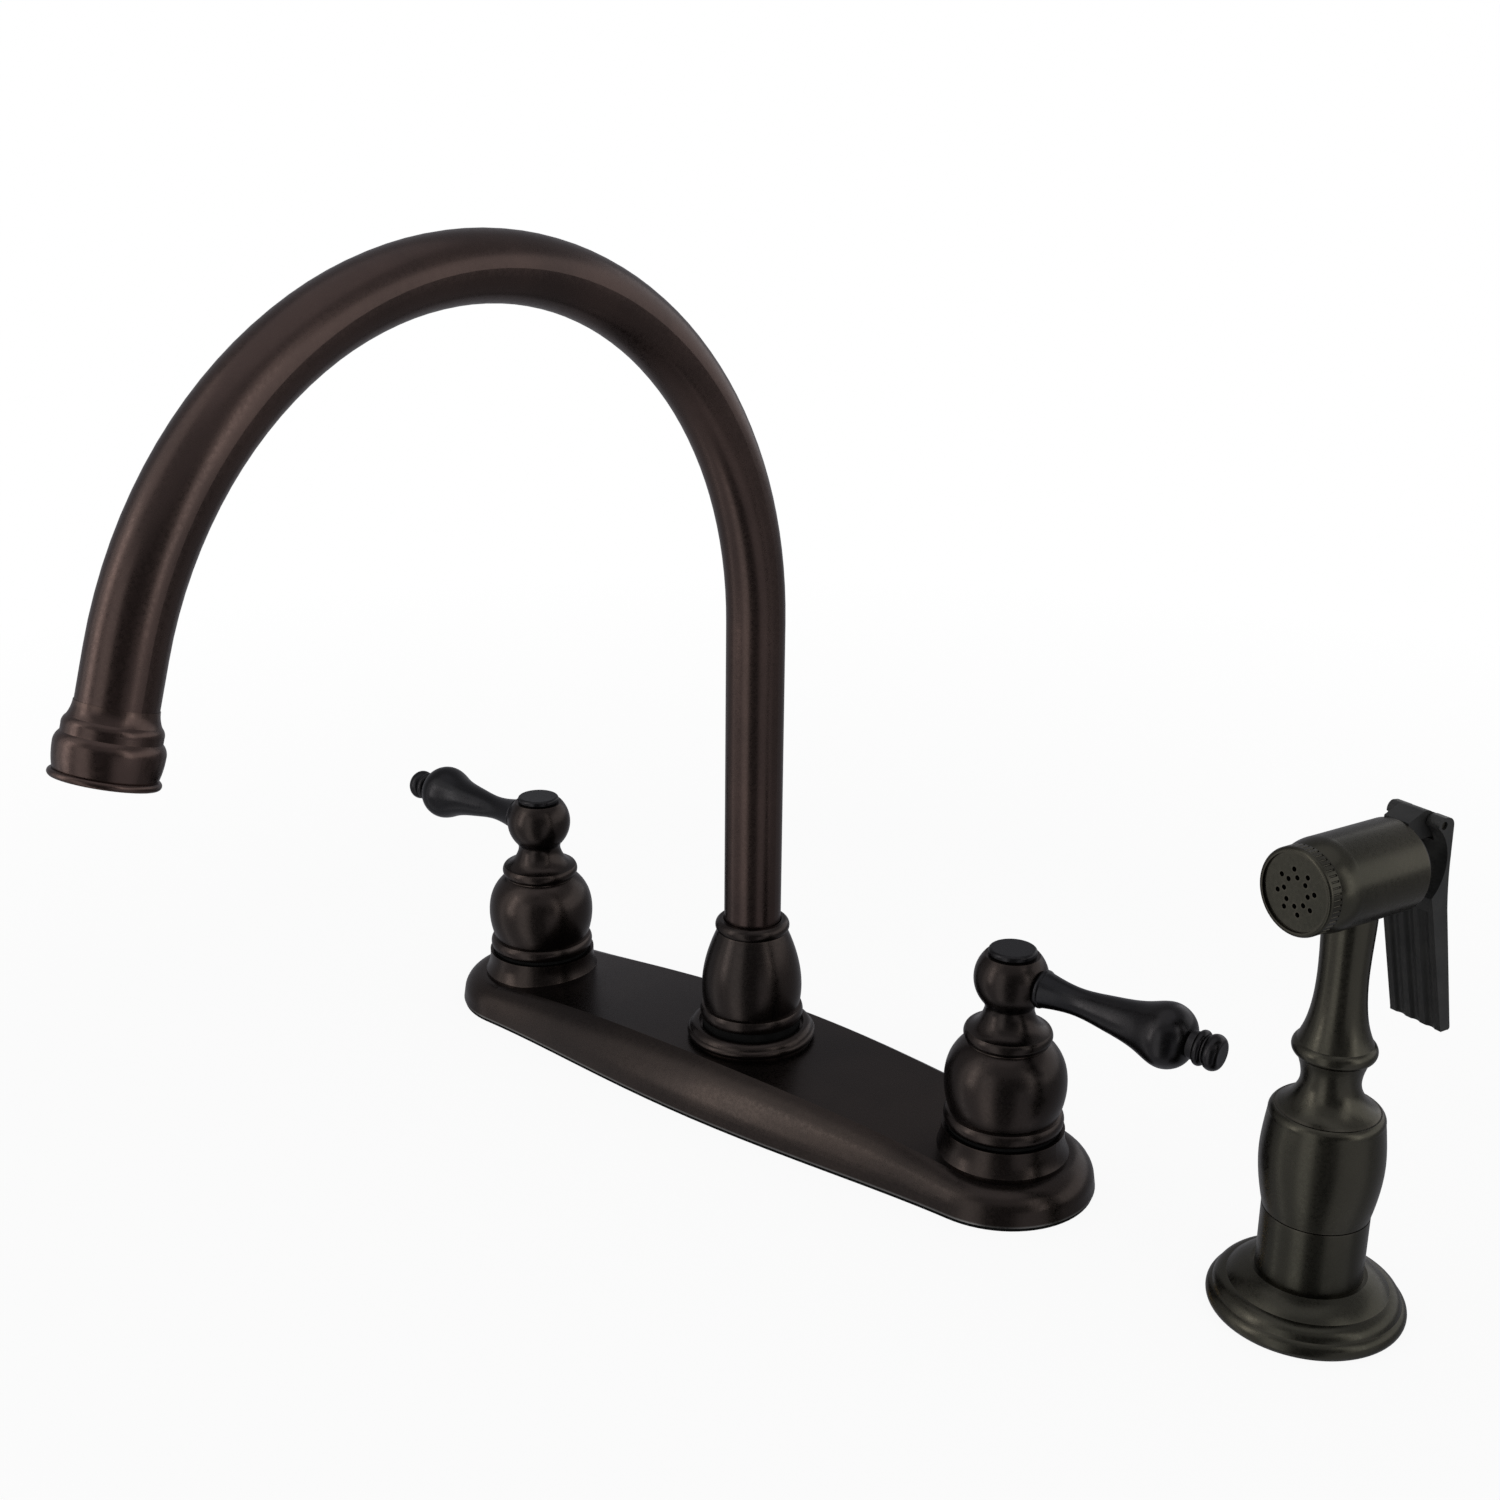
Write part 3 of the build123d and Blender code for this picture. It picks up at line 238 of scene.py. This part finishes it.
def floor_material():
    """White ground that keeps a faint shadow and meets the white surroundings with no edge."""
    m = Nodes("floor_white")
    white = m.add("ShaderNodeEmission", {"Color": (1, 1, 1, 1), "Strength": 1.0}).outputs[0]
    matte = m.add("ShaderNodeBsdfDiffuse", {"Color": (0.82, 0.82, 0.82, 1)}).outputs[0]
    distance = m.add("ShaderNodeVectorMath", {0: m.place()}, operation="LENGTH").outputs["Value"]
    far = m.remap(distance, SHADOW_NEAR, SHADOW_END, SHADOW_WHITE, 1.0)
    ray = m.add("ShaderNodeLightPath").outputs["Is Camera Ray"]
    share = m.add("ShaderNodeMath", {0: far, 1: ray}, operation="MULTIPLY").outputs[0]
    mixed = m.add("ShaderNodeMixShader", {0: share, 1: matte, 2: white}).outputs[0]
    m.tree.links.new(mixed, m.output.inputs["Surface"])
    return m.material


def make_floor():
    mesh = bpy.data.meshes.new("floor")
    corners = [(x * FLOOR_HALF, y * FLOOR_HALF, 0) for x, y in ((-1, -1), (1, -1), (1, 1), (-1, 1))]
    mesh.from_pydata(corners, [], [(0, 1, 2, 3)])
    floor = bpy.data.objects.new("floor", mesh)
    floor.data.materials.append(floor_material())
    bpy.context.scene.collection.objects.link(floor)
    floor.visible_glossy = False


def make_world():
    """White to the camera and in reflections; the light itself is softer, and dims overhead."""
    world = bpy.data.worlds.new("studio")
    bpy.context.scene.world = world
    world.use_nodes = True
    tree = world.node_tree
    tree.nodes.clear()

    def add(kind, **settings):
        node = tree.nodes.new(kind)
        for key, value in settings.items():
            setattr(node, key, value)
        return node

    place = add("ShaderNodeTexCoord")
    split = add("ShaderNodeSeparateXYZ")
    ramp = add("ShaderNodeValToRGB")
    rays = add("ShaderNodeLightPath")
    room, white = add("ShaderNodeBackground"), add("ShaderNodeBackground")
    mix, output = add("ShaderNodeMixShader"), add("ShaderNodeOutputWorld")
    stops = ramp.color_ramp.elements
    stops[0].position, stops[0].color = 0.0, (0.95, 0.95, 0.95, 1)
    stops[1].position, stops[1].color = 0.75, (0.55, 0.555, 0.565, 1)
    tree.links.new(place.outputs["Generated"], split.inputs[0])
    tree.links.new(split.outputs["Z"], ramp.inputs[0])
    tree.links.new(ramp.outputs[0], room.inputs["Color"])
    seen = rays.outputs["Is Camera Ray"]
    for ray in ("Is Glossy Ray", "Is Transmission Ray"):
        either = add("ShaderNodeMath", operation="MAXIMUM")
        tree.links.new(seen, either.inputs[0])
        tree.links.new(rays.outputs[ray], either.inputs[1])
        seen = either.outputs[0]
    tree.links.new(seen, mix.inputs[0])
    tree.links.new(room.outputs[0], mix.inputs[1])
    tree.links.new(white.outputs[0], mix.inputs[2])
    tree.links.new(mix.outputs[0], output.inputs[0])
    white.inputs["Color"].default_value = (1, 1, 1, 1)


STUDIO_CENTRE = Vector((0.03, -0.06, 0.12))
# Between the cards the metal shows the white studio. A card's tone is its grey, where 1 is that white.
CARDS = (                    # name, from and to in azimuth, from and to in elevation, tone
    ("camera_card", 14, 56, -60, 30, 0.1),
    ("left_card", -50, -12, -60, 30, 0.45),
    ("right_card", 56, 110, -60, 0, 0.5),
    ("right_flag", 56, 85, 0, 30, 0.15),
    ("far_card", 110, 190, -60, 0, 0.25),
    ("corner_card", 190, 300, -60, 60, 0.3),
    ("upper_card", -12, 190, 30, 60, 0.35),
    ("ceiling", -180, 180, 60, 90, 0.65),
    ("table", -180, 180, -90, -60, 0.4),
)
CARD_DISTANCE = 1.6
CARD_STEP = 8.0              # degrees to a facet of a curved card


def direction(azimuth, elevation):
    aim, tilt = radians(azimuth), radians(elevation)
    return Vector((sin(aim) * cos(tilt), -cos(aim) * cos(tilt), sin(tilt)))


def make_card(name, west, east, low, high, tone):
    """A curved card that only reflections see, as photographers use beside metal. Angles in degrees."""
    paper = Nodes(name)
    glow = paper.add("ShaderNodeEmission", {"Color": (1, 1, 1.04, 1), "Strength": tone})
    paper.tree.links.new(glow.outputs[0], paper.output.inputs["Surface"])
    columns = max(1, round((east - west) / CARD_STEP))
    rows = max(1, round((high - low) / CARD_STEP))
    corners = [
        STUDIO_CENTRE + CARD_DISTANCE * direction(
            west + (east - west) * column / columns, low + (high - low) * row / rows)
        for row in range(rows + 1) for column in range(columns + 1)]
    faces = [
        (k, k + 1, k + columns + 2, k + columns + 1)
        for row in range(rows) for k in range(row * (columns + 1), row * (columns + 1) + columns)]
    mesh = bpy.data.meshes.new(name)
    mesh.from_pydata(corners, [], faces)
    made = bpy.data.objects.new(name, mesh)
    made.data.materials.append(paper.material)
    bpy.context.scene.collection.objects.link(made)
    for ray in ("camera", "diffuse", "transmission", "volume_scatter", "shadow"):
        setattr(made, f"visible_{ray}", False)


LAMP_TARGET = Vector((0.02, -0.05, 0.12))
LAMP_WIDTH, LAMP_HEIGHT = 0.30, 0.9
LEFT_WATTS, RIGHT_WATTS = 1.7, 0.75


def soft_box(name, place, watts, colour):
    data = bpy.data.lights.new(name, "AREA")
    data.shape, data.size, data.size_y = "RECTANGLE", LAMP_WIDTH, LAMP_HEIGHT
    data.energy, data.color = watts, colour
    lamp = bpy.data.objects.new(name, data)
    bpy.context.scene.collection.objects.link(lamp)
    lamp.location = Vector(place)
    lamp.rotation_euler = (LAMP_TARGET - Vector(place)).to_track_quat("-Z", "Y").to_euler()
    lamp.visible_camera = False


bpy.context.scene.view_settings.view_transform = "Standard"
make_camera()
finish_nodes()
smooth_shading()
make_floor()
make_world()
for name, *place, tone in CARDS:
    make_card(name, *place, tone)
soft_box("left_box", (-0.55, -0.95, 0.35), LEFT_WATTS, (1.0, 0.97, 0.93))
soft_box("right_box", (0.95, -0.10, 0.45), RIGHT_WATTS, (1.0, 0.98, 0.95))
